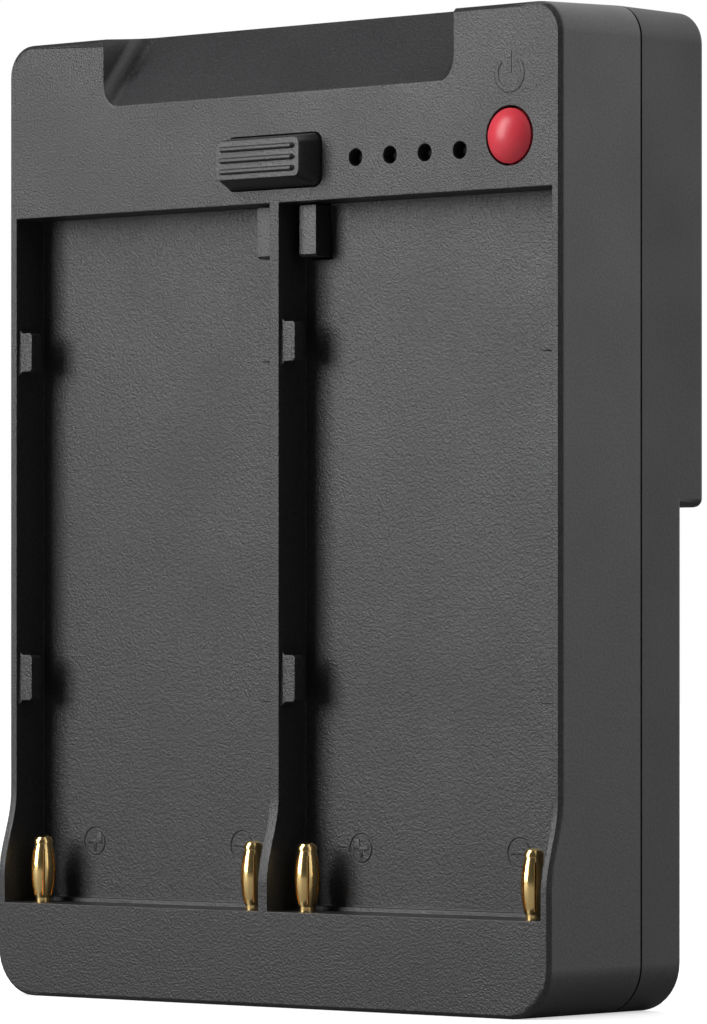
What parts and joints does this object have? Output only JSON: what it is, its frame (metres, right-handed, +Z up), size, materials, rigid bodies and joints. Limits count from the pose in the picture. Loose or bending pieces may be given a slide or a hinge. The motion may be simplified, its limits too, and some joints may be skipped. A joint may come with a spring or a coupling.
{
  "type": "v-mount battery adapter",
  "caption": "Upright plate with side-by-side slide-on battery bays, a central release button, a domed power button and a dovetail wedge on its stepped back.",
  "frame": {"origin": "on the bottom face, in the middle of the width, in the plane of the rims round the battery bays", "axes": "+X to the viewer's right, +Y from the bays towards the dovetail wedge, +Z up"},
  "size_m": [0.0824, 0.0323, 0.1098],
  "materials": {
    "black_abs": "moulded ABS, fine spark-eroded grain",
    "black_abs_back": "moulded ABS, fine grain",
    "black_abs_button": "moulded ABS, smoother than the case",
    "socket_plastic": "moulded nylon",
    "red_abs": "polished red ABS",
    "gold_plate": "gold plated turned brass",
    "spring_steel": "drawn spring wire",
    "switch_metal": "pressed sheet",
    "circuit_board": "solder mask on glass epoxy",
    "ferrite": "sintered ferrite",
    "capacitor_can": "drawn can",
    "wire_insulation": "extruded insulation",
    "ribbon": "laminated film",
    "screw_steel": "zinc plated",
    "lamp_lens": "smoked moulded lens"
  },
  "bodies": {
    "case": {"front_shell": "black_abs", "back_shell": "black_abs", "dovetail_wedge": "black_abs_back", "socket_block": "socket_plastic", "power_socket_left": "gold_plate", "power_socket_right": "gold_plate", "data_socket_left": "gold_plate", "data_socket_right": "gold_plate", "pin_left_outer": "gold_plate", "pin_left_inner": "gold_plate", "pin_right_inner": "gold_plate", "pin_right_outer": "gold_plate", "release_spring_left": "spring_steel", "release_spring_right": "spring_steel", "power_switch": "switch_metal", "lamp_1": "lamp_lens", "lamp_2": "lamp_lens", "lamp_3": "lamp_lens", "lamp_4": "lamp_lens", "contact_board": "circuit_board", "main_board": "circuit_board", "indicator_board": "circuit_board", "chokes": "ferrite", "capacitors": "capacitor_can", "battery_leads": "wire_insulation", "output_leads": "wire_insulation", "indicator_ribbon": "ribbon", "housing_screws": "screw_steel", "wedge_screws": "screw_steel", "board_screws": "screw_steel"},
    "release_slider": {"release_button": "black_abs_button"},
    "power_key": {"power_button": "red_abs", "switch_plunger": "socket_plastic"}
  },
  "joints": [
    {"name": "release_press", "type": "slide", "parent": "case", "child": "release_slider", "axis": [0, 1, 0], "range_m": [0, 0.0025], "stiffness_N_per_m": 600, "springref_m": -0.002, "deforming": ["release_spring_left", "release_spring_right"]},
    {"name": "power_press", "type": "slide", "parent": "case", "child": "power_key", "axis": [0, 1, 0], "range_m": [0, 0.0005], "stiffness_N_per_m": 1200, "springref_m": -0.0005}
  ]
}
